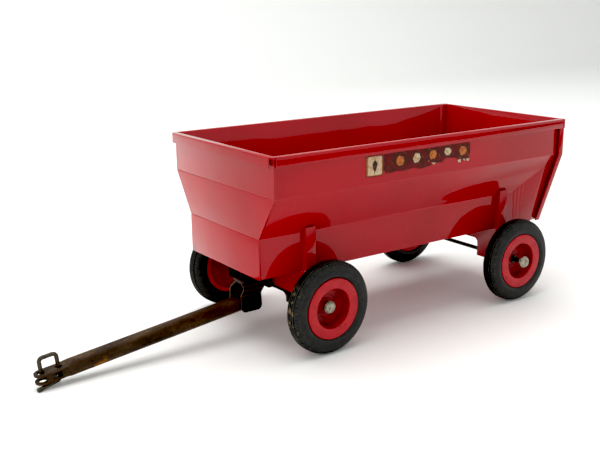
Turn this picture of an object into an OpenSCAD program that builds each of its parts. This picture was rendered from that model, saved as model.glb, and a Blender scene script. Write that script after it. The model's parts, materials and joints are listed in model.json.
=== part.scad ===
// Flare-box farm wagon in 1/16 scale, pressed steel, on four rubber-tyred wheels.
// Front is -X, the wagon's left side is -Y, +Z is up and the floor is z = 0.
// Lengths are first given from the middle of the box; stand_in_frame() then moves
// everything along X so that the origin is under the middle of the whole length.

/* [Box] */
// Length over the rim, front to rear
box_l = 213.8; // [200:0.2:230]
// Width over the rim
box_w = 104.6; // [96:0.2:112]
// Height of the rim's top above the floor
box_h = 108.2; // [100:0.2:115]
// Height of the box's underside above the floor
box_bottom = 42.1; // [40:0.1:46]
// Height of the upper crease, where the sides start to slope in
crease_high = 86.6; // [82:0.1:92]
// Height of the lower crease, where the slope ends
crease_low = 63.5; // [58:0.1:68]
// Half the width over the upper sides
upper_half_w = 50.5; // [46:0.1:54]
// Half the width over the lower sides
lower_half_w = 35.4; // [34:0.1:37]
// Sheet thickness of the box
sheet = 1; // [0.8:0.1:1.2]
// How far down the rim's lip hangs
lip_h = 5.6; // [3:0.1:6]
// How far the lower crease ends before the rear panel
gusset_l = 24.9; // [18:0.1:40]

/* [Running gear] */
// Distance between the two axles
wheelbase = 143.6; // [140:0.2:148]
// Distance of the rear axle behind the middle of the box
rear_axle_x = 71; // [70:0.2:72]
// How far the front axle and the tongue are steered to the left at rest, in degrees
steered = 1.8; // [0:0.1:3]
// Outer radius of the tyres
tyre_r = 25.1; // [24.9:0.1:25.5]
// Width of the tyres
tyre_w = 10.5; // [10:0.1:11]
// Distance of the wheel's outer face from the middle of the wagon
wheel_face = 54.5; // [54:0.1:56]
// Diameter of both axle rods
axle_d = 2.4; // [2:0.1:2.4]
// Radius of the wheel disc's outer flange
flange_r = 16.5; // [15.8:0.1:17]
// Radius of the dish in the wheel disc
dish_r = 10.75; // [9:0.05:12]
// Width of a bolster channel, front to rear
bolster_w = 6.4; // [6:0.1:7]
// Half the distance over the bolster uprights
bolster_half_w = 39.2; // [38.5:0.1:39.4]

/* [Tongue] */
// Length from the pivot pin to the tip of the jaws
tongue_l = 123; // [100:0.1:140]
// Outer diameter of the tongue tube
tube_d = 8.8; // [8.4:0.1:9]
// Angle that the tongue droops at rest
tongue_drop = 6.48; // [6.3:0.01:6.6]
// Height of the tongue's pivot pin
pivot_z = 19.1; // [19:0.1:19.6]
// Wire diameter of the hitch pin
pin_wire = 2.1; // [1.6:0.1:2.2]
// Distance between the hitch pin's two legs
pin_span = 8.8; // [8:0.1:9.4]

/* [Hidden] */
$fn = 64;

// Box, along X from its own middle
rim_front = -box_l / 2;
rim_rear = box_l / 2;
front_face = rim_front + 2.5;      // outer face of the front panel
rear_face = rim_rear - 0.6;        // outer face of the rear panel
crease_end = rear_face - gusset_l; // where the lower crease ends and the gusset starts
rim_half_w = box_w / 2;
joggle_start = rear_face - 6;      // the side sheets step in here, behind the rear flange
joggle_end = rear_face - 4.8;
joggle = 0.8;
gusset_steps = 10;
rear_flange = 3.5;                 // depth of the rear panel's folded edges
corner_cut = 2.4;                  // bevel across the rim's front corners
front_overlap = 0.4;               // how far the front panel stands past the side sheets

// Running gear
axle_r = axle_d / 2;
front_axle_x = rear_axle_x - wheelbase;
front_bolster_x = front_axle_x - 1.8;
rear_bolster_x = rear_axle_x - 1;
kingpin_x = front_axle_x - 2.4;
kingpin_r = 1.2;
running_gap = 0.05;
plate = 0.8;
yoke_top = tyre_r + axle_r + 1.15;
yoke_plate = 0.7;
yoke_half_l = 38.3;
yoke_half_w = 5.8;
bolster_bottom = yoke_top + 0.05;
bolster_top = 66.5;
rear_web_bottom = 33;
rear_leg_bottom = 22;
rear_arch_half = 22;
tyre_mid = wheel_face - 4.7;       // distance of the tyre's middle plane
bead_half = 4;                     // half the tyre's width at the bead
hub_inner = 40.2;
hub_outer = wheel_face - 5.9;
front_cap_face = wheel_face - 1.8;
rear_cap_face = wheel_face + 4.3;

// Tongue and its bracket
pivot_x = front_axle_x - 18.4;
pivot_r = 1;
cheek_in = tube_d / 2 + 0.35;
bracket_front = pivot_x - 7.5;
bracket_rear = pivot_x + 6;
bracket_bottom = 14.6;
cheek_foot = 5.6;                  // half the room between the cheeks at their lower edge
gooseneck_top = 33.4;
bracket_top = gooseneck_top - 1;
jaw_half_w = 4.2;
jaw_h = 5;
jaw_gap = 3;
jaw_start = 108;
front_hole_u = tongue_l - 3.7;
rear_hole_u = front_hole_u - pin_span;

// Whole length, from the jaws' tip to the rear rim, is centred on the origin. The rounded tip's
// foremost point lies on the line ahead of its own middle, whatever the steering.
tip_u = tongue_l - jaw_half_w;     // middle of the rounded tip
tip_x = kingpin_x + (pivot_x - kingpin_x) * cos(steered) - tip_u * cos(tongue_drop) * cos(steered)
    - norm([jaw_half_w * cos(tongue_drop) * cos(steered), jaw_half_w * sin(steered)])
    - jaw_h / 2 * sin(tongue_drop) * cos(steered);
frame_shift = -(tip_x + rim_rear) / 2;

red = [0.62, 0.04, 0.07];
wheel_red = [0.72, 0.13, 0.16];
rubber = [0.06, 0.06, 0.06];
black_steel = [0.07, 0.06, 0.06];
rust = [0.30, 0.20, 0.14];
wire = [0.33, 0.31, 0.26];
zinc = [0.72, 0.70, 0.62];
cream = [0.85, 0.78, 0.62];

module stand_in_frame() {
    translate([frame_shift, 0, 0]) children();
}

// The same, and steered about the kingpin
module stand_steered() {
    stand_in_frame() translate([kingpin_x, 0, 0]) rotate([0, 0, steered]) translate([-kingpin_x, 0, 0]) children();
}

// ---------- Box ----------

// Half-width of the box's outer surface at the foot of the sloped band, at station x:
// up to crease_end it is the lower crease; behind, it climbs the band's own plane
function gusset_part(x) = max(0, min(1, (x - crease_end) / gusset_l));
function foot_y(x) = lower_half_w + (upper_half_w - lower_half_w) * gusset_part(x);
function foot_z(x) = crease_low + (crease_high - crease_low) * gusset_part(x);
function step_in(x) = x <= joggle_start ? 0 : joggle * min(1, (x - joggle_start) / (joggle_end - joggle_start));

// One closed cross-section of the side sheet at station x: outside down, inside up
function side_ring(x) = [
    for (p = [[upper_half_w, box_h], [upper_half_w, crease_high], [foot_y(x), foot_z(x)],
              [lower_half_w, box_bottom]])
        [x, p[0] - step_in(x), p[1]],
    for (p = [[lower_half_w, box_bottom], [foot_y(x), foot_z(x)], [upper_half_w, crease_high],
              [upper_half_w, box_h]])
        [x, p[0] - step_in(x) - sheet, p[1]]];

side_stations = concat([front_face + sheet],
    [for (i = [0 : gusset_steps - 1]) crease_end + i * (joggle_start - crease_end) / (gusset_steps - 1)],
    [joggle_end, rear_face - sheet]);

module side_sheet() {
    n = 8;
    m = len(side_stations);
    points = [for (x = side_stations) each side_ring(x)];
    walls = [for (s = [0 : m - 2]) for (k = [0 : n - 1])
        let (a = s * n + k, b = s * n + (k + 1) % n, c = b + n, d = a + n)
        each [[a, b, c], [a, c, d]]];
    front_end = [[0, 6, 1], [0, 7, 6], [1, 6, 5], [1, 5, 2], [2, 5, 4], [2, 4, 3]];
    rear_end = [for (t = front_end) [t[2], t[1], t[0]] + (m - 1) * n * [1, 1, 1]];
    polyhedron(points, concat(walls, front_end, rear_end), convexity = 6);
}

// Rim along one side: a flange turned out at the top and a lip turned down
module side_rim() {
    x0 = front_face + sheet;
    rim_l = rear_face - sheet - x0;
    translate([x0, upper_half_w - sheet, box_h - sheet])
        cube([rim_l, rim_half_w - upper_half_w + sheet, sheet]);
    translate([x0, rim_half_w - sheet, box_h - lip_h])
        cube([rim_l, sheet, lip_h - sheet / 2]);
}

module right_side_panel() {
    color(red) stand_in_frame() union() {
        side_sheet();
        side_rim();
    }
}

module left_side_panel() {
    color(red) stand_in_frame() mirror([0, 1, 0]) union() {
        side_sheet();
        side_rim();
    }
}

module floor_pan() {
    inner = lower_half_w - sheet;
    x0 = front_face + sheet;
    x1 = joggle_start;
    x2 = rear_face - sheet;
    color(red) stand_in_frame()
        translate([0, 0, box_bottom]) linear_extrude(sheet)
            polygon([[x0, -inner], [x1, -inner], [x1, joggle - inner], [x2, joggle - inner],
                     [x2, inner - joggle], [x1, inner - joggle], [x1, inner], [x0, inner]]);
}

// Outline of an end panel, seen along X; grow widens it past the side sheets
module end_outline(grow, top) {
    polygon([for (s = [1, -1]) for (p = (s == 1
        ? [[lower_half_w, box_bottom], [lower_half_w, crease_low], [upper_half_w, crease_high], [upper_half_w, top]]
        : [[upper_half_w, top], [upper_half_w, crease_high], [lower_half_w, crease_low], [lower_half_w, box_bottom]]))
        [s * (p[0] + grow), p[1]]]);
}

module along_x(x0, length) {
    translate([x0, 0, 0]) rotate([90, 0, 90]) linear_extrude(length) children();
}

module front_panel() {
    crease_groove = 0.2;
    color(red) stand_in_frame() union() {
        difference() {
            along_x(front_face, sheet) end_outline(front_overlap, box_h - sheet);
            for (z = [crease_low, crease_high])
                translate([front_face - 1, -60, z]) cube([1 + crease_groove, 120, crease_groove * 2]);
        }
        translate([0, 0, box_h - sheet]) linear_extrude(sheet) polygon([
            [front_face + sheet, -rim_half_w], [rim_front + corner_cut, -rim_half_w],
            [rim_front, corner_cut - rim_half_w], [rim_front, rim_half_w - corner_cut],
            [rim_front + corner_cut, rim_half_w], [front_face + sheet, rim_half_w]]);
        translate([rim_front, corner_cut - rim_half_w, box_h - lip_h])
            cube([sheet, box_w - 2 * corner_cut, lip_h - sheet / 2]);
    }
}

// Tapering outline of the rear panel and of its folded edges
module rear_outline(inset) {
    top_w = rim_half_w - inset;
    low_w = lower_half_w + rim_half_w - upper_half_w - inset;
    polygon([[low_w, box_bottom], [top_w, crease_high], [top_w, box_h - lip_h],
             [-top_w, box_h - lip_h], [-top_w, crease_high], [-low_w, box_bottom]]);
}

module rear_panel() {
    color(red) stand_in_frame() union() {
        along_x(rear_face - sheet, sheet) rear_outline(0);
        along_x(rear_face - rear_flange, rear_flange) difference() {
            rear_outline(0);
            translate([0, -0.01]) rear_outline(sheet);
            translate([0, box_h - lip_h - 1]) square([2 * (rim_half_w - sheet), 4], center = true);
            translate([0, box_bottom]) square([2 * lower_half_w, 1], center = true);
        }
        translate([rear_face - sheet, -rim_half_w, box_h - lip_h]) cube([sheet, box_w, lip_h]);
        translate([rear_face, -rim_half_w, box_h - lip_h]) cube([rim_rear - rear_face, box_w, lip_h]);
    }
}

// ---------- Bolsters and steering ----------

// Cross-section of the room that the box fills between the uprights
module box_seat() {
    slope = (upper_half_w - lower_half_w) / (crease_high - crease_low);
    over = lower_half_w + slope * (bolster_top + 4 - crease_low);
    polygon([[lower_half_w, box_bottom], [lower_half_w, crease_low], [over, bolster_top + 4],
             [-over, bolster_top + 4], [-lower_half_w, crease_low], [-lower_half_w, box_bottom]]);
}

// Channel bent round the box's lower part, open towards the box
module saddle(x, bottom, web) {
    difference() {
        translate([x - bolster_w / 2, -bolster_half_w, bottom])
            cube([bolster_w, 2 * bolster_half_w, bolster_top - bottom]);
        translate([x - bolster_w / 2 + plate, -bolster_half_w + plate, bottom + web])
            cube([bolster_w - 2 * plate, 2 * (bolster_half_w - plate), 60]);
        along_x(x - bolster_w, 2 * bolster_w) box_seat();
    }
}

module front_bolster() {
    color(red) stand_in_frame() difference() {
        saddle(front_bolster_x, bolster_bottom, plate);
        translate([kingpin_x, 0, bolster_bottom - 1])
            cylinder(r = kingpin_r, h = 3);
    }
}

module rear_bolster() {
    arch_round = 3;
    color(red) stand_in_frame() difference() {
        saddle(rear_bolster_x, rear_leg_bottom, -1);
        along_x(rear_bolster_x - bolster_w, 2 * bolster_w) union() {
            translate([-rear_arch_half, 0]) square([2 * rear_arch_half, rear_web_bottom - arch_round]);
            translate([-rear_arch_half + arch_round, 0])
                square([2 * (rear_arch_half - arch_round), rear_web_bottom]);
            for (s = [1, -1]) translate([s * (rear_arch_half - arch_round), rear_web_bottom - arch_round])
                circle(arch_round);
        }
        translate([rear_axle_x, 50, tyre_r]) rotate([90, 0, 0]) cylinder(r = axle_r, h = 100);
    }
}

module kingpin() {
    head_r = 1.6;
    head_h = 0.6;
    bottom = yoke_top - yoke_plate - 0.05;
    top = bolster_bottom + plate;
    color(zinc) stand_in_frame() translate([kingpin_x, 0, 0]) union() {
        translate([0, 0, bottom - head_h]) cylinder(r = head_r, h = head_h);
        translate([0, 0, bottom - 0.1]) cylinder(r = kingpin_r, h = top - bottom + 0.2);
        translate([0, 0, top]) cylinder(r = head_r, h = head_h);
    }
}

// Outline of the yoke's front and rear aprons: a beam with an arch between two legs
module yoke_apron() {
    arch_half = 20;
    arch_round = 3.5;
    arch_top = yoke_top - yoke_plate - 0.7;
    leg_bottom = 21;
    difference() {
        translate([-yoke_half_l, leg_bottom]) square([2 * yoke_half_l, yoke_top - leg_bottom]);
        translate([-arch_half, leg_bottom - 1]) square([2 * arch_half, arch_top - arch_round - leg_bottom + 1]);
        translate([-arch_half + arch_round, leg_bottom - 1])
            square([2 * (arch_half - arch_round), arch_top - leg_bottom + 1]);
        for (s = [1, -1]) translate([s * (arch_half - arch_round), arch_top - arch_round]) circle(arch_round);
    }
}

module front_axle_yoke() {
    riser_x = kingpin_x - 7.2;
    neck_half_w = 9;
    color(black_steel) stand_steered() difference() {
        union() {
            translate([front_axle_x - yoke_half_w, -yoke_half_l, yoke_top - yoke_plate])
                cube([2 * yoke_half_w, 2 * yoke_half_l, yoke_plate]);
            for (x = [front_axle_x - yoke_half_w, front_axle_x + yoke_half_w - plate])
                along_x(x, plate) yoke_apron();
            for (s = [1, -1]) translate([front_axle_x, s * (yoke_half_l - plate / 2), (21 + yoke_top) / 2])
                cube([2 * yoke_half_w, plate, yoke_top - 21], center = true);
            // gooseneck: forward from the beam, up, and forward again over the tongue
            translate([riser_x, -neck_half_w, yoke_top - yoke_plate])
                cube([front_axle_x - yoke_half_w - riser_x, 2 * neck_half_w, yoke_plate]);
            translate([riser_x, -neck_half_w, yoke_top - yoke_plate])
                cube([1, 2 * neck_half_w, gooseneck_top - yoke_top + yoke_plate]);
            translate([0, 0, gooseneck_top - 1]) linear_extrude(1) polygon([
                [bracket_front, -neck_half_w], [bracket_front, 1.5], [riser_x - 2, neck_half_w],
                [riser_x + 1, neck_half_w], [riser_x + 1, -neck_half_w]]);
        }
        translate([kingpin_x, 0, 20]) cylinder(r = kingpin_r + running_gap, h = 20);
        translate([front_axle_x, 50, tyre_r]) rotate([90, 0, 0]) cylinder(r = axle_r, h = 100);
    }
}

// The bracket's section: a strap from the near cheek's foot over the tube to the far cheek's. The
// near cheek leans in to a neck and flares above it, and the top falls towards the far cheek.
function bracket_strap(grow) = [
    [-cheek_foot - grow, bracket_bottom], [-cheek_in - grow, 24], [-cheek_in - 3 - grow, 28],
    [-cheek_in - 3 - grow, bracket_top - 3 + grow], [-cheek_in - 1.4 - 0.4 * grow, bracket_top - 1 + grow],
    [-1 + 0.4 * grow, bracket_top - 1 + grow], [cheek_in - 0.6 + 0.8 * grow, bracket_top - 5 + 0.6 * grow],
    [cheek_in + grow, bracket_top - 7], [cheek_in + grow, 24], [cheek_foot + grow, bracket_bottom]];

module tongue_bracket() {
    corner = 3;
    color(black_steel) stand_steered() difference() {
        along_x(bracket_front, bracket_rear - bracket_front) difference() {
            polygon(bracket_strap(1));
            polygon(concat([[cheek_foot, bracket_bottom - 1], [-cheek_foot, bracket_bottom - 1]], bracket_strap(0)));
        }
        translate([pivot_x, 50, pivot_z]) rotate([90, 0, 0]) cylinder(r = pivot_r, h = 100);
        // rounded lower corners
        for (end = [[bracket_front, 1], [bracket_rear, -1]])
            translate([end[0], 0, bracket_bottom]) rotate([90, 0, 0]) translate([0, 0, -20]) linear_extrude(40)
                difference() {
                    translate([min(0, end[1] * corner), -0.01]) square([corner, corner]);
                    translate([end[1] * corner, corner]) circle(corner);
                }
    }
}

module tongue_pivot_pin() {
    reach = cheek_foot + 0.8;
    color(wire) stand_steered() translate([pivot_x, 0, pivot_z]) rotate([90, 0, 0]) union() {
        cylinder(r = pivot_r, h = 2 * reach + 1, center = true);
        for (s = [1, -1]) translate([0, 0, s * (reach + 0.4)]) cylinder(r = 1.9, h = 0.8, center = true);
    }
}

// ---------- Tongue, in its own frame: u runs from the pivot to the tip along -X ----------

module tongue_frame() {
    stand_steered() translate([pivot_x, 0, pivot_z]) rotate([0, -tongue_drop, 0]) children();
}

module tube_run(r, from_u, to_u) {
    translate([-to_u, 0, 0]) rotate([0, 90, 0]) cylinder(r = r, h = to_u - from_u);
}

// Plan outline of the flattened end with its rounded tip
module jaw_plan(half_w, from_u, to_u) {
    translate([-to_u + half_w, 0]) circle(half_w);
    translate([-to_u + half_w, -half_w]) square([to_u - half_w - from_u, 2 * half_w]);
}

module jaw_hole(u, r) {
    translate([-u, 0, -jaw_h]) cylinder(r = r, h = 2 * jaw_h);
}

module tongue_tube() {
    mouth_u = tongue_l - 4.8;
    window_l = 4.4;
    taper_l = 2.6;
    color(rust) tongue_frame() difference() {
        union() {
            tube_run(tube_d / 2, -4, jaw_start - taper_l);
            hull() {
                tube_run(tube_d / 2, jaw_start - taper_l - 0.2, jaw_start - taper_l, $fn = 32);
                translate([-jaw_start - 0.2, -jaw_half_w, -jaw_h / 2]) cube([0.2, 2 * jaw_half_w, jaw_h]);
            }
            translate([0, 0, -jaw_h / 2]) linear_extrude(jaw_h) jaw_plan(jaw_half_w, jaw_start, tongue_l);
        }
        tube_run(tube_d / 2 - 1, -5, jaw_start - taper_l - 1);
        tube_run(jaw_gap / 2, jaw_start - taper_l - 2, jaw_start + 2);
        // hollow between the jaws, open at the mouth and at a window in each side
        translate([0, 0, -jaw_gap / 2]) linear_extrude(jaw_gap) union() {
            translate([-mouth_u - 1, -jaw_half_w + 1]) square([mouth_u + 1 - jaw_start - 1, 2 * jaw_half_w - 2]);
            translate([-tongue_l - 1, -jaw_half_w - 1]) square([tongue_l + 1 - mouth_u, 2 * jaw_half_w + 2]);
            translate([-rear_hole_u - window_l, -jaw_half_w - 1]) square([window_l, 2 * jaw_half_w + 2]);
        }
        jaw_hole(front_hole_u, 2);
        jaw_hole(rear_hole_u, 1.8);
        // cross hole for the pivot pin
        rotate([90, 0, 0]) cylinder(r = pivot_r + running_gap, h = 20, center = true);
    }
}

// A quarter bend of the wire, centred at [u, w], from angle a to a + 90
module wire_bend(u, w, bend_r, a) {
    translate([-u, 0, w]) rotate([90, 0, 0]) rotate([0, 0, a])
        rotate_extrude(angle = 90) translate([bend_r, 0]) circle(pin_wire / 2, $fn = 24);
}

module wire_up(u, from_w, to_w) {
    translate([-u, 0, from_w]) cylinder(d = pin_wire, h = to_w - from_w, $fn = 24);
}

module wire_along(w, from_u, to_u) {
    translate([-to_u, 0, w]) rotate([0, 90, 0]) cylinder(d = pin_wire, h = to_u - from_u, $fn = 24);
}

module hitch_pin() {
    bend_r = 2;
    loop_w = jaw_h / 2 + 7.4;
    foot_w = -4.2;
    foot_l = 13.6;
    foot_swing = 15; // how far the foot is bent outwards from the loop's plane
    color(wire) tongue_frame() union() {
        wire_up(front_hole_u, jaw_gap / 2 + 0.1, loop_w - bend_r);
        wire_bend(front_hole_u - bend_r, loop_w - bend_r, bend_r, 90);
        wire_along(loop_w, rear_hole_u + bend_r, front_hole_u - bend_r);
        wire_bend(rear_hole_u + bend_r, loop_w - bend_r, bend_r, 0);
        wire_up(rear_hole_u, foot_w + bend_r, loop_w - bend_r);
        translate([-rear_hole_u, 0, 0]) rotate([0, 0, foot_swing]) translate([rear_hole_u, 0, 0]) {
            wire_bend(rear_hole_u + bend_r, foot_w + bend_r, bend_r, -90);
            wire_along(foot_w, rear_hole_u + bend_r, rear_hole_u + foot_l);
        }
    }
}

// ---------- Axles and wheels ----------

// Turn a shape drawn along +Z into one that stands out along an axle on one side
module on_front_axle(side) {
    stand_steered() translate([front_axle_x, 0, tyre_r]) rotate([-90 * side, 0, 0]) children();
}

module on_rear_axle(side) {
    stand_in_frame() translate([rear_axle_x, 0, tyre_r]) rotate([-90 * side, 0, 0]) children();
}

module axle_rod(reach) {
    translate([0, 0, -reach]) cylinder(r = axle_r, h = 2 * reach);
}

module ring(r_in, r_out, from_s, to_s) {
    translate([0, 0, from_s]) difference() {
        cylinder(r = r_out, h = to_s - from_s);
        translate([0, 0, -1]) cylinder(r = r_in, h = to_s - from_s + 2);
    }
}

module front_axle() { color(black_steel) on_front_axle(1) axle_rod(front_cap_face - 0.8); }
module rear_axle() { color(black_steel) on_rear_axle(1) axle_rod(rear_cap_face - 0.8); }

module front_axle_spacers() {
    color(zinc) for (s = [1, -1]) on_front_axle(s) ring(axle_r, 1.9, yoke_half_l, hub_inner - 0.1);
}

module rear_axle_spacers() {
    color(zinc) for (s = [1, -1]) on_rear_axle(s) ring(axle_r, 2.6, bolster_half_w, hub_inner - 0.1);
}

module rear_axle_rings() {
    color(black_steel) for (s = [1, -1]) on_rear_axle(s) ring(axle_r, 2.6, hub_outer + 0.1, hub_outer + 0.9);
}

// Push-on cap: a neck and a domed head with a blind bore for the axle's end
module axle_cap(face) {
    head_r = 3.5;
    dome = 0.9;
    color(zinc) rotate_extrude() polygon(concat(
        [[axle_r, face - 4], [2.3, face - 4], [2.3, face - 2.2], [head_r, face - 2.2]],
        [for (a = [0 : 15 : 90]) [head_r - dome + dome * cos(a), face - dome + dome * sin(a)]],
        [[0, face], [0, face - 0.8], [axle_r, face - 0.8]]));
}

module front_left_cap() { on_front_axle(-1) axle_cap(front_cap_face); }
module front_right_cap() { on_front_axle(1) axle_cap(front_cap_face); }
module rear_left_cap() { on_rear_axle(-1) axle_cap(rear_cap_face); }
module rear_right_cap() { on_rear_axle(1) axle_cap(rear_cap_face); }

// Pressed wheel disc: barrel with a flange over each bead of the tyre, web, dish and hub tube
module wheel_disc() {
    barrel_r = 15.2;
    flange_t = 0.6;
    inner_face = 2 * tyre_mid - wheel_face;
    dish_floor = wheel_face - 6.3;
    web = 1;
    hub_r = 2.7;
    bore_r = axle_r + running_gap;
    color(wheel_red) rotate_extrude() polygon([
        [bore_r, hub_inner], [hub_r, hub_inner], [hub_r, dish_floor - web], [barrel_r - 1, dish_floor - web],
        [barrel_r - 1, inner_face], [flange_r, inner_face], [flange_r, inner_face + flange_t],
        [barrel_r, inner_face + flange_t], [barrel_r, wheel_face - flange_t], [flange_r, wheel_face - flange_t],
        [flange_r, wheel_face - 0.4], [flange_r - 0.4, wheel_face], [dish_r + 0.5, wheel_face],
        [dish_r, wheel_face - 0.5], [dish_r - 1, dish_floor], [hub_r, dish_floor],
        [hub_r, hub_outer], [bore_r, hub_outer]]);
}

module front_left_disc() { on_front_axle(-1) wheel_disc(); }
module front_right_disc() { on_front_axle(1) wheel_disc(); }
module rear_left_disc() { on_rear_axle(-1) wheel_disc(); }
module rear_right_disc() { on_rear_axle(1) wheel_disc(); }

// Solid rubber tyre, nearly round in section, with ribs round the tread
module tyre() {
    bead_r = 15.25;
    crown_half = 1.2;                // half the width of the tread's flat middle
    shoulder_h = 6.5;                // how far in the shoulders reach
    half_w = tyre_w / 2;
    groove_w = 0.6;
    groove_d = 0.5;
    side = [for (a = [0 : 11.25 : 90])
        [tyre_r - shoulder_h * (1 - cos(a)), crown_half + (half_w - crown_half) * sin(a)]];
    half = concat(side, [[flange_r, bead_half], [bead_r, bead_half]]);
    color(rubber) difference() {
        rotate_extrude($fn = 96) translate([0, tyre_mid])
            polygon(concat(half, [for (i = [len(half) - 1 : -1 : 0]) [half[i][0], -half[i][1]]]));
        for (i = [-2 : 2]) translate([0, 0, tyre_mid + i * 1.3 - groove_w / 2])
            ring(tyre_r - groove_d - 0.12 * i * i, tyre_r + 1, 0, groove_w);
    }
}

module front_left_tyre() { on_front_axle(-1) tyre(); }
module front_right_tyre() { on_front_axle(1) tyre(); }
module rear_left_tyre() { on_rear_axle(-1) tyre(); }
module rear_right_tyre() { on_rear_axle(1) tyre(); }

// ---------- Trim ----------

// Thin transfer on a side: a square emblem and a plain strip behind it
module decal() {
    decal_front = -47.2;
    emblem_w = 11.4;
    film = 0.1;
    color(cream) stand_in_frame() translate([decal_front, upper_half_w, 0]) union() {
        translate([0, 0, 91.4]) cube([emblem_w, film, 10.8]);
        translate([emblem_w, 0, 91]) cube([64, film, 10]);
    }
}

module left_decal() { mirror([0, 1, 0]) decal(); }
module right_decal() { decal(); }

floor_pan();
left_side_panel();
right_side_panel();
front_panel();
rear_panel();
front_bolster();
rear_bolster();
kingpin();
front_axle_yoke();
tongue_bracket();
tongue_pivot_pin();
tongue_tube();
hitch_pin();
front_axle();
rear_axle();
front_axle_spacers();
rear_axle_spacers();
rear_axle_rings();
front_left_cap();
front_right_cap();
rear_left_cap();
rear_right_cap();
front_left_disc();
front_right_disc();
rear_left_disc();
rear_right_disc();
front_left_tyre();
front_right_tyre();
rear_left_tyre();
rear_right_tyre();
left_decal();
right_decal();
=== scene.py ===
# %% [markdown]
# # A pressed-steel farm wagon in 1/16 scale
# The real thing is a glossy red box folded from thin sheet, on four rubber-tyred wheels, with a
# rusty tube for a tongue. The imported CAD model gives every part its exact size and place, so this
# file loads it first and never moves it. Each cell below makes one part or one finish.

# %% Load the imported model
import json
from math import cos, pi, radians, sin

import bpy
from mathutils import Matrix, Vector


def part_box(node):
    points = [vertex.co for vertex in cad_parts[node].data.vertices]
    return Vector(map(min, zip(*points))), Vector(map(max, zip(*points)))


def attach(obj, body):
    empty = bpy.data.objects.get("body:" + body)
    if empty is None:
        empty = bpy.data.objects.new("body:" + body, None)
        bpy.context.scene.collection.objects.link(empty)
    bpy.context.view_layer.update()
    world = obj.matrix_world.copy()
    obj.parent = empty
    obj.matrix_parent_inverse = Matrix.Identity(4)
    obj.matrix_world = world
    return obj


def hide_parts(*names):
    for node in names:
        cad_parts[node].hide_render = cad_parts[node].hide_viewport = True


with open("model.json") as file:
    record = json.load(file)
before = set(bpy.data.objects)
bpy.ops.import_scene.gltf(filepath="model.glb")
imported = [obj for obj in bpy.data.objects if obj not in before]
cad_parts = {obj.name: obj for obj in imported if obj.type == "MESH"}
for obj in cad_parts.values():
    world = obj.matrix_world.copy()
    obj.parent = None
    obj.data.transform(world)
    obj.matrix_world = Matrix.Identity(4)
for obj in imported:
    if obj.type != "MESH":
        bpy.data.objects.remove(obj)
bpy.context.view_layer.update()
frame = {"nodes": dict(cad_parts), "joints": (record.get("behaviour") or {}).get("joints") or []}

# %% [markdown]
# ## Camera
# The wagon is looked at from its front left corner, from a little above the rim, with a fairly
# long lens, so its far end is not much smaller than its near end. A camera looks along its own
# -Z, so it is first tipped up from straight down and then turned about the vertical. The display's
# black level is raised a little, which deepens the darkest tones as a hard studio exposure does.

# %% Camera
mm = 0.001
camera_data = bpy.data.cameras.new("camera")
camera_data.sensor_width = 36
camera_data.lens = 53.01
standpoint = (-0.27784, -0.40, 0.1830)
camera = bpy.data.objects.new("camera", camera_data)
bpy.context.scene.collection.objects.link(camera)
turn = 0.6058
dip = 0.2549
roll = -0.0116
tip_up = Matrix.Rotation(pi / 2 - dip, 4, "X") @ Matrix.Rotation(roll, 4, "Z")
aim = Matrix.Rotation(-turn, 4, "Z") @ tip_up
camera.matrix_world = Matrix.Translation(standpoint) @ aim
bpy.context.scene.camera = camera
display = bpy.context.scene.view_settings
display.view_transform = "Standard"
display.use_curve_mapping = True
black_level = 0.022
display.curve_mapping.black_level = (black_level, black_level, black_level)
display.curve_mapping.update()
print("camera at", [round(v, 3) for v in camera.matrix_world.translation])

# %% [markdown]
# ## Hands for modelling
# Operators act on whatever is selected, and loading leaves the CAD nodes selected. So every piece
# starts with nothing selected, and faces are then picked in code, by where they are or which way
# they point.

# %% Picking and finishing helpers
def pick_only(piece):
    bpy.ops.object.select_all(action="DESELECT")
    piece.select_set(True)
    bpy.context.view_layer.objects.active = piece


def edit(piece, select="NONE"):
    pick_only(piece)
    bpy.ops.object.mode_set(mode="EDIT")
    bpy.ops.mesh.select_mode(type="VERT")
    bpy.ops.mesh.select_all(action="SELECT" if select == "ALL" else "DESELECT")


def leave():
    bpy.ops.object.mode_set(mode="OBJECT")


def pick_faces(piece, test):
    """Selects the faces whose middle and normal pass the test, and returns how many there are."""
    edit(piece)
    bpy.ops.mesh.select_mode(type="FACE")
    leave()
    count = 0
    for face in piece.data.polygons:
        face.select = bool(test(face.center, face.normal))
        count += face.select
    bpy.ops.object.mode_set(mode="EDIT")
    return count


def apply_modifier(piece, kind, **settings):
    pick_only(piece)
    modifier = piece.modifiers.new(kind.lower(), kind)
    for setting, value in settings.items():
        setattr(modifier, setting, value)
    bpy.ops.object.modifier_apply(modifier=modifier.name)


def smooth(piece, degrees=35):
    pick_only(piece)
    bpy.ops.object.shade_smooth_by_angle(angle=radians(degrees))


def hand_over(piece, body, nodes, slot, *finishes):
    """Gives a finished piece its materials, and says what it rides on and stands for."""
    while len(piece.data.materials) < len(finishes):
        piece.data.materials.append(None)
    for place, finish in enumerate(finishes):
        piece.data.materials[place] = finish
    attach(piece, body)
    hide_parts(*nodes)
    size = [round(v / mm, 1) for v in piece.dimensions]
    print(f"{piece.name}: {size} mm, {len(piece.data.polygons)} faces, on {body}")


# %% [markdown]
# ## Softened copies of pressed parts
# The folded sheets are already right in the CAD model, but their edges are mathematically sharp
# and catch no light. A merged copy of the node gets a small bevel on every fold, and the bevel's
# own faces take a second material, which is where paint thins and chips.

# %% Softened copy
weld_gap = 0.002 * mm
flat_within = radians(0.6)


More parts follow.
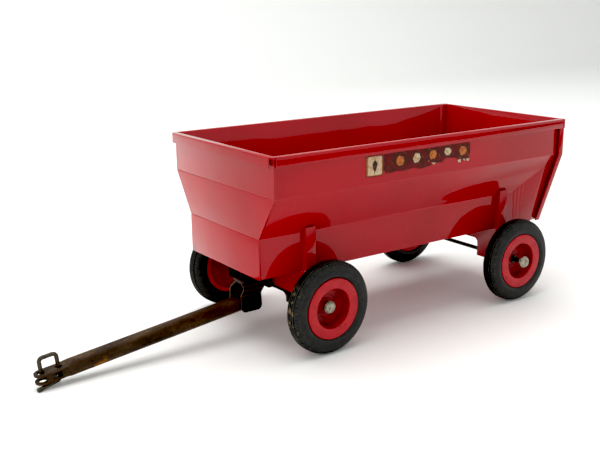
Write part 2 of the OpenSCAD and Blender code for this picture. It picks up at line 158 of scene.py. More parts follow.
def softened(node, name, bevel, degrees=25, is_edge=None):
    """A merged, bevelled copy of a node; faces whose normal passes is_edge take the edge finish."""
    copy = bpy.data.objects.new(name, frame["nodes"][node].data.copy())
    bpy.context.scene.collection.objects.link(copy)
    edit(copy, "ALL")
    bpy.ops.mesh.customdata_custom_splitnormals_clear()
    bpy.ops.mesh.remove_doubles(threshold=weld_gap)
    bpy.ops.mesh.dissolve_limited(angle_limit=flat_within)
    leave()
    for face in copy.data.polygons:
        face.material_index = 1 if is_edge and is_edge(face.normal) else 0
    copy.data.materials.clear()
    copy.data.materials.append(None)
    copy.data.materials.append(None)
    apply_modifier(copy, "BEVEL", width=bevel * mm, segments=2, limit_method="ANGLE",
                   angle_limit=radians(degrees), material=1, use_clamp_overlap=True)
    smooth(copy)
    return copy


# %% [markdown]
# ## Turned parts
# Tyres, discs and caps are round about the axle. Drawing half of the cross-section and spinning it
# keeps every rib and fillet exact, where a cylinder would have to be cut ring by ring. The outline
# is drawn one point after another by extruding a single corner.

# %% Draw an outline and spin it round an axle
seam_gap = 0.004 * mm


def drawn(name, points):
    """A new piece that holds one open line through the points, left in edit mode."""
    bpy.ops.object.select_all(action="DESELECT")
    bpy.ops.mesh.primitive_plane_add(size=mm, location=points[0])
    piece = bpy.context.object
    piece.name = name
    piece.data.name = name
    bpy.ops.object.transform_apply(location=True, rotation=True, scale=True)
    edit(piece, "ALL")
    bpy.ops.mesh.merge(type="CENTER")
    for here, there in zip(points, points[1:]):
        bpy.ops.mesh.extrude_region_move(TRANSFORM_OT_translate={"value": there - here})
    return piece


def turned(name, outline, centre, steps):
    """outline holds (outward, radius) in millimetres; outward is -Y from the wagon's middle."""
    piece = drawn(name, [Vector((centre.x, -s * mm, centre.z + r * mm)) for s, r in outline])
    bpy.ops.mesh.select_all(action="SELECT")
    bpy.ops.mesh.spin(steps=steps, angle=2 * pi, center=(centre.x, 0, centre.z), axis=(0, 1, 0))
    bpy.ops.mesh.select_all(action="SELECT")
    bpy.ops.mesh.remove_doubles(threshold=seam_gap)
    bpy.ops.mesh.normals_make_consistent(inside=False)
    leave()
    return piece


def placed_copy(piece, name, matrix):
    copy = bpy.data.objects.new(name, piece.data.copy())
    bpy.context.scene.collection.objects.link(copy)
    copy.data.transform(matrix)
    return copy


def fillet(middle, radius, start, end, count=5):
    """Points of an arc in an outline, from one angle to another in degrees."""
    angles = [radians(start + (end - start) * i / (count - 1)) for i in range(count)]
    return [(middle[0] + radius * cos(a), middle[1] + radius * sin(a)) for a in angles]


# %% [markdown]
# ## Shader sums written as sums
# A finish is easier to read as an expression than as a page of links. The class below wraps a
# socket, and its operators add Math nodes, also when a plain number stands on the left.

# %% Socket arithmetic
class Wire:
    def __init__(self, finish, socket):
        self.finish = finish
        self.socket = socket

    def maths(self, operation, *values):
        inputs = dict(enumerate(values))
        return self.finish.node("ShaderNodeMath", {"operation": operation}, inputs)

    def __add__(self, other):
        return self.maths("ADD", self, other)

    def __sub__(self, other):
        return self.maths("SUBTRACT", self, other)

    def __rsub__(self, other):
        return self.maths("SUBTRACT", other, self)

    def __mul__(self, other):
        return self.maths("MULTIPLY", self, other)

    def __abs__(self):
        return self.maths("ABSOLUTE", self)

    __radd__ = __add__
    __rmul__ = __mul__

    def step(self, low, high):
        """0 below low, 1 above high, and an even ramp between them."""
        ramp = {1: low, 2: high, 3: 0.0, 4: 1.0}
        return self.finish.node("ShaderNodeMapRange", {"clamp": True}, {0: self, **ramp})


# %% One finish
class Finish:
    def __init__(self, name, **constants):
        self.material = bpy.data.materials.new(name)
        self.material.use_nodes = True
        self.tree = self.material.node_tree
        self.shader = next(n for n in self.tree.nodes if n.type == "BSDF_PRINCIPLED")
        for socket, value in constants.items():
            self.shader.inputs[socket.replace("_", " ")].default_value = value
        coordinates = self.tree.nodes.new("ShaderNodeTexCoord")
        self.place = Wire(self, coordinates.outputs["Object"])

    def node(self, kind, settings=None, inputs=None, output=0):
        made = self.tree.nodes.new(kind)
        for setting, value in (settings or {}).items():
            if setting == "stops":
                self.set_stops(made.color_ramp, value)
            else:
                setattr(made, setting, value)
        for socket, value in (inputs or {}).items():
            if isinstance(value, Wire):
                self.tree.links.new(value.socket, made.inputs[socket])
            else:
                made.inputs[socket].default_value = value
        return Wire(self, made.outputs[output])

    def set_stops(self, ramp, stops):
        while len(ramp.elements) < len(stops):
            ramp.elements.new(0.5)
        for element, (position, colour) in zip(ramp.elements, stops):
            element.position = position
            element.color = (*colour, 1)

    def noise(self, scale, detail=2.0, rough=0.5, stretch=None):
        where = self.place
        if stretch:
            where = self.node("ShaderNodeMapping", {}, {"Vector": where, "Scale": stretch})
        sizes = {"Vector": where, "Scale": scale, "Detail": detail, "Roughness": rough}
        return self.node("ShaderNodeTexNoise", {}, sizes)

    def axis(self, letter, offset=0.0):
        """One coordinate of the place on the wagon, in metres, measured from offset."""
        parts = self.node("ShaderNodeSeparateXYZ", {}, {0: self.place}, "XYZ".index(letter))
        return parts - offset if offset else parts

    def mix(self, share, first, second):
        pair = {0: share, 6: self.paint(first), 7: self.paint(second)}
        return self.node("ShaderNodeMix", {"data_type": "RGBA"}, pair, 2)

    def paint(self, colour):
        return colour if isinstance(colour, Wire) else (*colour, 1)

    def ramp(self, value, *stops):
        return self.node("ShaderNodeValToRGB", {"stops": stops}, {0: value})

    def into(self, socket, wire):
        self.tree.links.new(wire.socket, self.shader.inputs[socket])

    def relief(self, height, depth):
        """Bumps of the given depth in millimetres where height goes from 0 to 1."""
        sizes = {"Height": height, "Distance": depth * mm, "Strength": 1.0}
        self.into("Normal", self.node("ShaderNodeBump", {}, sizes))


print("shader class ready")

# %% [markdown]
# ## Red enamel
# The box is dipped in glossy enamel. Its gloss is sharp, so the white table and the black tyres
# show in it, and the thin sheet behind it is never quite flat, so those reflections swim a little.
# A second version goes on the folded edges, where the paint is thin, lighter and chipped.

# %% Red enamel
deep_red = (0.40, 0.003, 0.009)
thin_red = (0.50, 0.030, 0.040)
dark_red = (0.30, 0.002, 0.006)
chip_brown = (0.035, 0.012, 0.010)
pale_dust = (0.55, 0.30, 0.25)


def red_enamel(name, on_edges):
    enamel = Finish(name, IOR=1.45)
    cloudy = enamel.noise(14, 3).step(0.35, 0.7)
    colour = enamel.mix(cloudy, deep_red, thin_red if on_edges else dark_red)
    dust = enamel.noise(420, 4, 0.7).step(0.60, 0.74)
    colour = enamel.mix(dust * 0.05, colour, pale_dust)
    if on_edges:
        chips = enamel.noise(900, 3, 0.6).step(0.66, 0.69)
    else:
        chips = enamel.noise(350, 2).step(0.785, 0.80)
    colour = enamel.mix(chips, colour, chip_brown)
    enamel.into("Base Color", colour)
    enamel.into("Roughness", 0.08 + dust * 0.10 + chips * 0.4)
    swim = enamel.noise(20, 2) + enamel.noise(700, 2) * 0.010
    enamel.relief(swim - chips * 0.04, 0.8)
    return enamel.material


enamel_face = red_enamel("red_enamel", False)
enamel_edge = red_enamel("red_enamel_edges", True)

# %% [markdown]
# ## Wheel enamel
# The discs are sprayed with a flatter red than the box, with specks of dirt on it. The dish
# faces get a darker copy of the same finish, which is painted shade in the recess.

# %% Wheel enamel
caked_dirt = (0.06, 0.006, 0.006)


def wheel_enamel(name, light, dark):
    spray = Finish(name, IOR=1.4)
    cloudy = spray.noise(180, 3).step(0.4, 0.7)
    colour = spray.mix(cloudy, light, dark)
    dirt = spray.noise(520, 5, 0.65).step(0.60, 0.72)
    colour = spray.mix(dirt * 0.6, colour, caked_dirt)
    spray.into("Base Color", colour)
    spray.into("Roughness", 0.34 + dirt * 0.3 + cloudy * 0.08)
    spray.relief(spray.noise(1500, 2), 0.02)
    return spray.material


disc_finish = wheel_enamel("wheel_enamel", (0.42, 0.015, 0.021), (0.34, 0.010, 0.016))
# The dish takes a darker copy of the disc finish: painted shade in the recess.
dish_painted_shade = wheel_enamel("wheel_enamel_dish_painted_shade", (0.27, 0.007, 0.011), (0.15, 0.003, 0.006))

# %% [markdown]
# ## Tyre rubber
# Old toy tyres are hard black rubber, dulled to grey in patches and scuffed on the tread, with a
# fine worn grain. The front left one has dried mud on its tread, so mud is a mask that each
# tyre's own finish turns up or down.

# %% Tyre rubber
new_rubber = (0.0050, 0.0056, 0.0052)
dull_rubber = (0.024, 0.025, 0.022)
scuffed_rubber = (0.16, 0.14, 0.11)
dried_mud = (0.30, 0.215, 0.10)
sidewall_end = 21.5 * mm
tread_start = 23.6 * mm


def tyre_rubber(name, centre, mud):
    rubber = Finish(name, IOR=1.45)
    across = rubber.axis("X", centre.x)
    up = rubber.axis("Z", centre.z)
    squares = across * across + up * up
    tread = squares.step(sidewall_end ** 2, tread_start ** 2)
    grey = rubber.noise(420, 4, 0.6).step(0.42, 0.72)
    colour = rubber.mix(grey, new_rubber, dull_rubber)
    scuffs = rubber.noise(1400, 3, 0.7).step(0.60, 0.68) * tread
    colour = rubber.mix(scuffs * 0.5, colour, scuffed_rubber)
    ahead = (-0.004 - across).step(0.0, 0.010)
    level = 1.0 - abs(up - 0.001).step(0.006, 0.015)
    patches = rubber.noise(240, 5, 0.62).step(0.555, 0.59)
    mask = patches * tread * ahead * level * mud
    colour = rubber.mix(mask, colour, dried_mud)
    rubber.into("Base Color", colour)
    rubber.into("Roughness", 0.50 + grey * 0.16 + mask * 0.3)
    rubber.relief(rubber.noise(1100, 4, 0.6) * 0.5 + mask, 0.12)
    return rubber.material


# %% [markdown]
# ## Bare and rusty metals
# The tongue has no paint left: brown rust with darker scale, drawn out along the tube, and a fresh
# orange patch near its tip. The bracket and the yoke are black steel that rusts at its edges, the
# caps are zinc with a few rust pits, and the hitch pin is dull wire.

# %% Rust for the tongue
old_rust = ((0.0, (0.013, 0.0075, 0.0035)), (0.5, (0.036, 0.019, 0.0085)), (1.0, (0.085, 0.048, 0.022)))
fresh_rust = (0.27, 0.10, 0.010)
black_scale = (0.014, 0.010, 0.009)


def tongue_rust(name, fresh_at):
    rust = Finish(name, IOR=1.4, Specular_IOR_Level=0.3)
    streaks = rust.noise(120, 6, 0.62, stretch=(0.35, 1, 1)).step(0.32, 0.68)
    brown = rust.ramp(streaks, *old_rust)
    away = abs(rust.axis("X", fresh_at.x)) * 32 + abs(rust.axis("Z", fresh_at.z)) * 60
    fresh = (rust.noise(300, 5, 0.75) - away).step(0.34, 0.46)
    colour = rust.mix(fresh * 0.8, brown, fresh_rust)
    pits = rust.noise(700, 4, 0.65).step(0.52, 0.66)
    colour = rust.mix(pits * 0.55, colour, black_scale)
    rust.into("Base Color", colour)
    rust.into("Roughness", 0.52 + pits * 0.25 + fresh * 0.2)
    rust.relief(rust.noise(900, 5, 0.7) - pits * 0.6, 0.10)
    return rust.material


tongue_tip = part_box("tongue_tube")[0].x
fresh_patch = Vector((tongue_tip + 34 * mm, 0, 6.5 * mm))
tongue_finish = tongue_rust("rusty_tube", fresh_patch)

# %% Black steel
def black_steel(name, rusty, rust):
    """rusty is how far the rust has spread, from 0, and rust is its colour."""
    steel = Finish(name, IOR=1.4, Specular_IOR_Level=0.25)
    blotches = steel.noise(170, 5, 0.65).step(0.60 - rusty, 0.72 - rusty)
    black = steel.mix(steel.noise(90, 2), (0.0045, 0.0035, 0.0035), (0.010, 0.008, 0.007))
    colour = steel.mix(blotches, black, rust)
    steel.into("Base Color", colour)
    steel.into("Roughness", 0.36 + blotches * 0.35)
    steel.relief(steel.noise(800, 4, 0.6) * 0.4 + blotches * 0.6, 0.06)
    return steel.material


black_face = black_steel("black_steel", 0.02, (0.05, 0.024, 0.012))
rusty_edge = black_steel("black_steel_edges", 0.42, (0.20, 0.10, 0.042))

# %% Zinc, axle steel and wire
pit_brown = (0.045, 0.018, 0.008)


def dull_metal(name, light, dark, metallic, roughness, pits):
    metal = Finish(name, Metallic=metallic)
    tarnish = metal.noise(500, 5, 0.6).step(0.35, 0.70)
    colour = metal.mix(tarnish, light, dark)
    rust_pits = metal.noise(480, 3, 0.55).step(1.0 - pits, 1.03 - pits)
    colour = metal.mix(rust_pits, colour, pit_brown)
    metal.into("Base Color", colour)
    metal.into("Roughness", roughness + tarnish * 0.15 + rust_pits * 0.3)
    metal.relief(metal.noise(1600, 3) - rust_pits, 0.05)
    return metal.material


zinc = dull_metal("zinc_plated", (0.42, 0.38, 0.30), (0.20, 0.18, 0.13), 0.35, 0.36, 0.405)
axle_steel = dull_metal("axle_steel", (0.05, 0.045, 0.04), (0.014, 0.012, 0.011), 0.7, 0.35, 0.40)
wire = dull_metal("pin_wire", (0.060, 0.050, 0.030), (0.018, 0.014, 0.009), 0.35, 0.42, 0.42)
print("metal finishes ready")

# %% [markdown]
# ## The box
# Five folded sheets: floor, two sides with their rims, a front panel and a rear panel. Their
# shapes come straight from the CAD nodes, and the bevel puts a light line on every fold.

# %% Box sheets
for sheet, bevel in (("left_side_panel", 0.28), ("right_side_panel", 0.28), ("front_panel", 0.25),
                     ("rear_panel", 0.25), ("floor_pan", 0.2)):
    piece = softened(sheet, sheet + "_sheet", bevel)
    hand_over(piece, "chassis", [sheet], "red_enamel", enamel_face, enamel_edge)

# %% [markdown]
# ## Bolsters, yoke and bracket
# These are channels and clips bent from plate. They get the same treatment, and the bracket also
# takes its rusty finish on the front and rear edges where it was cut.

# %% Channels
for channel in ("front_bolster", "rear_bolster"):
    piece = softened(channel, channel + "_channel", 0.35)
    hand_over(piece, "chassis", [channel], "red_enamel", enamel_face, enamel_edge)
yoke = softened("front_axle_yoke", "front_axle_yoke_plate", 0.25)
hand_over(yoke, "steered_axle", ["front_axle_yoke"], "black_steel", black_face, rusty_edge)


def is_cut_edge(normal):
    """The bracket's cut edges face forwards and backwards."""
    return abs(normal.x) > 0.95


bracket = softened("tongue_bracket", "tongue_bracket_plate", 0.15, is_edge=is_cut_edge)
hand_over(bracket, "steered_axle", ["tongue_bracket"], "black_steel", black_face, rusty_edge)

# %% [markdown]
# ## Tongue and pins
# The tube, its flattened jaws and the bent wire pin keep their CAD shapes, with worn edges.

# %% Tongue and pins
tongue = softened("tongue_tube", "tongue_tube_worn", 0.3)
hand_over(tongue, "tongue", ["tongue_tube"], "rusty_tube", tongue_finish, tongue_finish)
pin = softened("hitch_pin", "hitch_pin_wire", 0.25, 50)
hand_over(pin, "pin", ["hitch_pin"], "pin_wire", wire, wire)
pivot_pin = softened("tongue_pivot_pin", "tongue_pivot_rivet", 0.25)
hand_over(pivot_pin, "steered_axle", ["tongue_pivot_pin"], "pin_wire", black_face, black_face)

# %% [markdown]
# ## Tyre
# The tread has narrow ribs with five grooves between them, and the sidewall carries a raised ring.
# The outline is spun first. The cross cuts at the shoulders are pressed in afterwards, because
# the faces for them can then be picked by their angle round the wheel.

# %% Tyre outline
tyre_low, tyre_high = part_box("rear_left_tyre")
wheel_centre = (tyre_low + tyre_high) / 2
tyre_r = (tyre_high.x - tyre_low.x) / 2 / mm
side_out = -tyre_low.y / mm
side_in = -tyre_high.y / mm
middle = (side_out + side_in) / 2
crown_half = 1.2
bead_r = 15.3
tyre_steps = 144
round_half = (side_out - side_in) / 2 - crown_half
shoulder_drop = 6.5
groove_depth = 0.6
rib_pitch = 1.3


def tread_radius(out):
    """The section is nearly round: a flat crown, then shoulders that fall away in an ellipse."""
    lean = max(0, abs(out) - crown_half) / round_half
    return tyre_r - shoulder_drop * (1 - (1 - min(1, lean * lean)) ** 0.5)


tread = []
for i in range(-2, 3):
    groove = i * rib_pitch
    for offset, depth in ((-0.36, 0), (-0.22, groove_depth), (0.22, groove_depth), (0.36, 0)):
        tread.append((middle + groove + offset, tread_radius(groove + offset) - depth))
outer_side = [(middle + out, tread_radius(out)) for out in (3.3, 3.75, 4.2, 4.55, 4.8)]
outer_side += [(middle + 4.92, 20.95), (middle + 4.85, 20.75), (middle + 4.98, 20.5),
               (middle + 5.18, 19.6), (middle + 5.25, 18.6), (middle + 4.95, 17.6),
               (middle + 4.35, 16.7), (middle + 4.0, 16.4), (middle + 4.0, bead_r)]
inner_side = [(2 * middle - s, r) for s, r in reversed(outer_side)]
tyre_outline = inner_side + tread + outer_side
tyre_outline = tyre_outline + [tyre_outline[0]]
tyre = turned("rear_left_tyre_ribbed", tyre_outline, wheel_centre, tyre_steps)
print("tyre outline points:", len(tyre_outline), "faces:", len(tyre.data.polygons))

# %% Cross cuts in the shoulders
cut_depth = 0.22 * mm
cut_margin = 0.08 * mm


def from_axle(point):
    """Where a point lies from the rear axle, seen from the side."""
    return Vector((point.x - wheel_centre.x, point.z - wheel_centre.z))


def is_cut(face_middle, normal):
    """Every second face round each shoulder."""
    out = abs(-face_middle.y / mm - middle)
    around = from_axle(face_middle)
    sector = int((around.angle_signed(Vector((1, 0))) + pi) / (2 * pi) * tyre_steps)
    return 2.98 < out < 4.1 and around.length > 21 * mm and sector % 2 == 0


cuts = pick_faces(tyre, is_cut)
bpy.ops.mesh.inset(thickness=cut_margin, depth=-cut_depth, use_individual=False)
leave()
smooth(tyre, 30)
print("cross cuts:", cuts)

# %% [markdown]
# ## Wheel disc
# A pressed disc: a flange over the tyre's bead, a deep dish, and a shallow ring round the hub with
# four small blind holes. The disc is turned like the tyre, and a small drill is then placed where
# each hole goes and taken away from the disc.

# %% Wheel disc
disc_low, disc_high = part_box("rear_left_disc")
face = -disc_low.y / mm
back = -disc_high.y / mm
flange = (disc_high.x - disc_low.x) / 2 / mm
inner_face = 2 * middle - face
dish_r = 10.75
dish_floor = face - 6.3
bore_r = 1.25
hub_r = 2.7
barrel_in = 14.2
barrel_out = 15.2
flange_t = 0.6
disc_outline = [(back, bore_r), (back, hub_r), (dish_floor - 1, hub_r), (dish_floor - 1, barrel_in),
                (inner_face, barrel_in), (inner_face, flange), (inner_face + flange_t, flange),
                (inner_face + flange_t, barrel_out), (face - flange_t, barrel_out),
                (face - flange_t, flange)]
disc_outline += fillet((face - 0.45, flange - 0.45), 0.45, 90, 0)
disc_outline += fillet((face - 0.6, dish_r + 0.6), 0.6, 0, -80)
disc_outline += fillet((dish_floor + 0.7, 9.05), 0.7, 95, 180)
disc_outline += [(dish_floor, 6.3), (dish_floor - 0.25, 6.0), (dish_floor - 0.25, 4.7),
                 (dish_floor, 4.4), (dish_floor, 3.1), (dish_floor + 0.12, hub_r),
                 (dish_floor + 0.4, 2.5), (dish_floor + 0.4, bore_r), (back, bore_r)]
disc = turned("rear_left_disc_pressed", disc_outline, wheel_centre, 96)

# %% Four holes round the hub
hole_reach = 5.35 * mm
first_hole = 25
bpy.ops.object.select_all(action="DESELECT")
for quarter in range(4):
    angle = radians(first_hole + 90 * quarter)
    along = wheel_centre.x + hole_reach * cos(angle)
    up = wheel_centre.z + hole_reach * sin(angle)
    bpy.ops.mesh.primitive_cylinder_add(vertices=16, radius=0.7 * mm, depth=1.4 * mm,
                                        location=(along, -dish_floor * mm, up),
                                        rotation=(pi / 2, 0, 0))
    drill = bpy.context.object
    apply_modifier(disc, "BOOLEAN", operation="DIFFERENCE", solver="EXACT", object=drill)
    bpy.data.objects.remove(drill)
smooth(disc, 30)
disc.data.materials.append(disc_finish)
disc.data.materials.append(dish_painted_shade)
# Faces inside the dish radius take the darker copy, which is painted shade in the recess.
for facet in disc.data.polygons:
    in_dish = from_axle(facet.center).length < (dish_r - 0.05) * mm
    facet.material_index = 1 if in_dish else 0
print("disc faces:", len(disc.data.polygons))

# %% [markdown]
# ## Axle caps
# A push-on cap is a small domed button with a rolled edge. The front ones sit in the dish, and the
# rear ones stand out past the wheel on a bare axle end.

# %% Axle caps
cap_face = -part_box("rear_left_cap")[0].y / mm
cap_outline = [(cap_face - 4, 1.2), (cap_face - 4, 2.3), (cap_face - 2.1, 2.3), (cap_face - 2.2, 3.1)]
cap_outline += fillet((cap_face - 1.75, 3.05), 0.45, 180, 20, 6)
cap_outline += [(cap_face - 1.0, 3.2), (cap_face - 0.55, 2.85), (cap_face - 0.22, 2.2),
                (cap_face - 0.06, 1.3), (cap_face, 0.5), (cap_face, 0.0)]
cap = turned("rear_left_cap_domed", cap_outline, wheel_centre, 48)
smooth(cap, 40)

# %% [markdown]
# ## Four wheels from one
# The wheel was made on the rear axle, which lies straight across. The others are copies with their
# own meshes, turned to the axis of their own joint, because the front axle is steered a little.
# A right wheel is turned half round, so nothing is mirrored and no normal is flipped.

# %% Place the wheels
joint_reach = 48 * mm
front_cap_inset = 6.1 * mm
home = Matrix.Translation((-wheel_centre.x, 0, -wheel_centre.z))
for wheel in ("rear_left", "rear_right", "front_left", "front_right"):
    joint = next(j for j in frame["joints"] if j["name"] == wheel + "_wheel_spin")
    outward = Vector(joint["axis"]) * (-1 if "left" in wheel else 1)
    axle_middle = Vector(joint["pos_m"]) - outward * joint_reach
    about = -Vector((0, -1)).angle_signed(Vector((outward.x, outward.y)))
    there = Matrix.Translation(axle_middle) @ Matrix.Rotation(about, 4, "Z") @ home
    inset = Matrix.Translation(outward * (-front_cap_inset if "front" in wheel else 0))
    if wheel == "rear_left":
        own_tyre = tyre
        own_disc = disc
        own_cap = cap
    else:
        own_tyre = placed_copy(tyre, wheel + "_tyre_ribbed", there)
        own_disc = placed_copy(disc, wheel + "_disc_pressed", there)
        own_cap = placed_copy(cap, wheel + "_cap_domed", inset @ there)
    mud = 1.0 if wheel == "front_left" else 0.0
    rubber = tyre_rubber(wheel + "_rubber", axle_middle, mud)
    spinning = wheel + "_wheel"
    axle_body = "chassis" if "rear" in wheel else "steered_axle"
    hand_over(own_tyre, spinning, [wheel + "_tyre"], "tyre_rubber", rubber)
    # The second finish, for the dish faces, is painted shade in the recess.
    hand_over(own_disc, spinning, [wheel + "_disc"], "wheel_enamel", disc_finish, dish_painted_shade)
    hand_over(own_cap, axle_body, [wheel + "_cap"], "zinc_plated", zinc)

# %% [markdown]
# ## Transfers on the sides
# Each side carries a worn paper transfer: a small label at the front, and a stained strip behind
# it. The label is four films, one on another: a dark border, an orange edge, a cream field and a
# leaf. Each scrap on the strip is a smaller film on a dark one. The scraps stand for worn print
# and spell nothing.

# %% Transfer films
label_reach = 47.2
decal_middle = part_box("left_decal")[0].x / mm + label_reach
print_dark = Finish("transfer_dark", Roughness=0.5)
dark_wear = print_dark.noise(800, 3).step(0.35, 0.7)
print_dark.into("Base Color", print_dark.mix(dark_wear, (0.018, 0.008, 0.006), (0.10, 0.020, 0.012)))
print_cream = Finish("transfer_cream", Roughness=0.5)
cream_wear = print_cream.noise(600, 4, 0.6).step(0.45, 0.66)
cream_tone = print_cream.mix(cream_wear, (0.60, 0.46, 0.30), (0.42, 0.22, 0.085))
print_cream.into("Base Color", cream_tone)
print_orange = Finish("transfer_orange", Roughness=0.5)
orange_wear = print_orange.noise(700, 4, 0.6).step(0.40, 0.66)
print_orange.into("Base Color", print_orange.mix(orange_wear, (0.55, 0.17, 0.025), (0.30, 0.05, 0.012)))
print_ghost = Finish("transfer_ghost", Roughness=0.35)
soaked = print_ghost.noise(300, 4, 0.6).step(0.40, 0.62)
stain = print_ghost.mix(soaked, (0.15, 0.004, 0.006), (0.050, 0.010, 0.006))
gold = print_ghost.noise(650, 5, 0.75).step(0.60, 0.64)
print_ghost.into("Base Color", print_ghost.mix(gold, stain, (0.34, 0.16, 0.035)))
film_looks = {"ghost": print_ghost.material, "dark": print_dark.material,
              "cream": print_cream.material, "orange": print_orange.material}
lowest_film = 50.53
film_step = 0.02
film_t = 0.03


def film(name, outline, side, layer):
    """A flat patch cut to an outline of (x, z) in millimetres, lying layer films above the sheet."""
    out = side * (lowest_film + film_step * layer) * mm
    points = [Vector(((x + decal_middle) * mm, out, z * mm)) for x, z in outline]
    piece = drawn(name, points)
    bpy.ops.mesh.select_all(action="SELECT")
    bpy.ops.mesh.edge_face_add()
    thickness = (0, side * film_t * mm, 0)
    bpy.ops.mesh.extrude_region_move(TRANSFORM_OT_translate={"value": thickness})
    bpy.ops.mesh.select_all(action="SELECT")
    bpy.ops.mesh.normals_make_consistent(inside=False)
    leave()
    return piece


def shrunk(outline, share):
    """The same outline drawn in towards its middle."""
    middle_x = sum(x for x, z in outline) / len(outline)
    middle_z = sum(z for x, z in outline) / len(outline)
    return [(middle_x + (x - middle_x) * share, middle_z + (z - middle_z) * share)
            for x, z in outline]


# %% Cut the films
label = [(-46.4, 102.0), (-36.6, 102.0), (-35.8, 101.2), (-35.8, 91.6), (-36.6, 90.8), (-46.4, 90.8),
         (-47.2, 91.6), (-47.2, 101.2)]
field = [(-45.2, 101.3), (-37.0, 101.3), (-36.5, 100.8), (-36.5, 92.0), (-37.0, 91.5), (-45.2, 91.5),
         (-45.7, 92.0), (-45.7, 100.8)]
leaf = [(-41.2, 99.8), (-39.4, 97.4), (-40.1, 94.8), (-41.2, 92.8), (-42.4, 94.9), (-43.0, 97.5)]
ghost = [(-35.2, 101.8), (-20, 102.0), (-4, 101.7), (12, 102.0), (27.8, 101.9), (28.2, 97.0), (27.0, 92.2),
         (20.0, 91.9), (17.0, 94.2), (9.5, 95.0), (6.5, 92.6), (1.0, 93.2), (-3.0, 91.8), (-10.0, 91.0),
         (-14.0, 92.4), (-20.0, 91.4), (-27.5, 92.0), (-33.0, 90.9), (-35.4, 93.5)]
scraps = [[(-25.0, 101.0), (-21.2, 99.8), (-19.8, 96.6), (-21.6, 94.0), (-25.2, 93.6),
           (-27.4, 96.4), (-27.0, 99.2)],
          [(-13.4, 101.2), (-9.8, 100.4), (-8.4, 97.2), (-10.6, 94.4), (-14.0, 94.0), (-15.8, 97.0)],
          [(-2.4, 100.8), (1.8, 101.0), (3.6, 98.0), (1.6, 95.0), (-2.2, 94.6), (-3.8, 97.8)],
          [(8.6, 101.2), (12.8, 100.8), (14.6, 98.2), (12.4, 95.6), (9.2, 95.8), (7.2, 98.4)],
          [(20.2, 101.2), (24.6, 100.6), (26.6, 97.4), (24.0, 94.4), (20.4, 94.2), (18.4, 97.6)]]
specks = [[(18.6, 92.8), (21.2, 93.0), (20.8, 91.2), (19.2, 91.4)],
          [(22.6, 93.0), (24.4, 92.8), (24.2, 91.3)],
          [(25.4, 92.9), (27.8, 92.6), (27.0, 91.2), (25.6, 91.6)],
          [(-1.4, 93.6), (2.0, 93.2), (0.4, 92.2)]]


def lay_film(side_name, part, outline, layer, look):
    side = -1 if side_name == "left" else 1
    piece = film(side_name + part, outline, side, layer)
    hand_over(piece, "chassis", [side_name + "_decal"], "worn_decal", film_looks[look])


for side_name in ("left", "right"):
    lay_film(side_name, "_label_border", label, 0, "dark")
    lay_film(side_name, "_label_edge", shrunk(label, 0.93), 1, "orange")
    lay_film(side_name, "_label_field", field, 2, "cream")
    lay_film(side_name, "_label_leaf", leaf, 3, "dark")
    lay_film(side_name, "_strip", ghost, -1, "ghost")
    for number, scrap in enumerate(scraps, 1):
        lay_film(side_name, f"_scrap_border_{number}", scrap, 0, "dark")
        look = "cream" if number in (2, 4) else "orange"
        lay_film(side_name, f"_scrap_{number}", shrunk(scrap, 0.76), 1, look)
    for number, speck in enumerate(specks, 1):
        lay_film(side_name, f"_speck_{number}", speck, 0, "cream")

# %% [markdown]
# ## Parts that keep their CAD shape
# Axle rods, spacers, rings and the kingpin are plain turned pieces that hardly show. They only
# get a better finish.

# %% Finishes for the plain nodes
for node, finish in (("kingpin", zinc), ("front_axle", axle_steel), ("rear_axle", axle_steel),
                     ("front_axle_spacers", zinc), ("rear_axle_spacers", zinc),
                     ("rear_axle_rings", axle_steel)):
    owner = frame["nodes"][node]
    owner.data.materials.clear()
    owner.data.materials.append(finish)

# %% [markdown]
# ## Table and light
# The wagon stands on a white sweep: a floor that curves up into a backdrop with no line between
# them. A large soft lamp overhead and a little behind makes the soft shadow under the box, and a
# weaker one at the left lights the front. The room round them glows most at eye level, which is
# what the glossy upright sides show.

# %% White sweep
def curve_up(steps, radius):
    """Points of a quarter circle that starts level and ends upright."""
    angles = [pi / 2 * i / steps for i in range(steps + 1)]
    return [Vector((0, radius * sin(a), radius * (1 - cos(a)))) for a in angles]


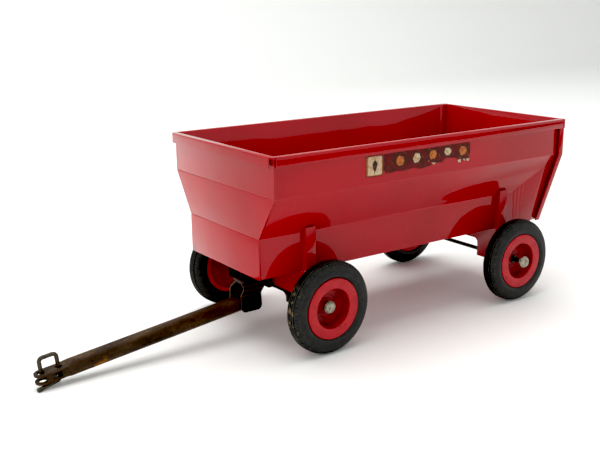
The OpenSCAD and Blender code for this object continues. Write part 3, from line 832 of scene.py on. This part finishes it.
bpy.ops.object.select_all(action="DESELECT")
bpy.ops.mesh.primitive_plane_add(size=1, location=(0, 0, 0))
sweep = bpy.context.object
sweep.name = "sweep"
sweep.scale = (4.0, 1.35, 1)
sweep.location = (0.3, 0.345, 0)
bpy.ops.object.transform_apply(location=True, rotation=True, scale=True)
edit(sweep)
bpy.ops.mesh.select_mode(type="EDGE")
leave()
for edge in sweep.data.edges:
    ends = [sweep.data.vertices[i].co.y for i in edge.vertices]
    edge.select = min(ends) > 0.9
bpy.ops.object.mode_set(mode="EDIT")
bend = curve_up(16, 0.5)
for here, there in zip(bend, bend[1:]):
    bpy.ops.mesh.extrude_region_move(TRANSFORM_OT_translate={"value": there - here})
bpy.ops.mesh.extrude_region_move(TRANSFORM_OT_translate={"value": (0, 0, 1.2)})
leave()
smooth(sweep, 60)
paper = Finish("white_sweep", Roughness=0.6)
paper.into("Base Color", paper.mix(paper.noise(3, 2), (0.86, 0.87, 0.85), (0.88, 0.89, 0.87)))
sweep.data.materials.append(paper.material)
print("sweep:", [round(v, 2) for v in sweep.dimensions])

# %% Lamps
def soft_lamp(name, size, power, place, aim_at):
    data = bpy.data.lights.new(name, "AREA")
    data.shape = "RECTANGLE"
    data.size, data.size_y = size
    data.energy = power
    lamp = bpy.data.objects.new(name, data)
    bpy.context.scene.collection.objects.link(lamp)
    lamp.location = place
    lamp.rotation_euler = (Vector(aim_at) - Vector(place)).to_track_quat("-Z", "Y").to_euler()


soft_lamp("overhead", (1.6, 1.2), 21, (0.0, 0.25, 1.3), (0, 0.05, 0))
soft_lamp("left_window", (1.0, 0.8), 3, (-1.2, -0.3, 0.7), (0, 0, 0.05))

# %% Glow of the room
glow_levels = ((0.46, 0.03), (0.51, 1.20), (0.62, 1.05), (1.0, 0.40))
world = bpy.data.worlds.new("room")
world.use_nodes = True
room = world.node_tree
view = room.nodes.new("ShaderNodeTexCoord")
upward = room.nodes.new("ShaderNodeSeparateXYZ")
horizon = room.nodes.new("ShaderNodeMapRange")
horizon.inputs["From Min"].default_value = -1
horizon.inputs["From Max"].default_value = 1
glow = room.nodes.new("ShaderNodeValToRGB")
while len(glow.color_ramp.elements) < len(glow_levels):
    glow.color_ramp.elements.new(0.5)
for element, (height, level) in zip(glow.color_ramp.elements, glow_levels):
    element.position = height
    element.color = (level, level, level, 1)
room.links.new(view.outputs["Generated"], upward.inputs[0])
room.links.new(upward.outputs["Z"], horizon.inputs["Value"])
room.links.new(horizon.outputs["Result"], glow.inputs[0])
room.links.new(glow.outputs[0], room.nodes["Background"].inputs["Color"])
room.nodes["Background"].inputs["Strength"].default_value = 1.0
bpy.context.scene.world = world
print("room glow stops:", len(glow_levels))
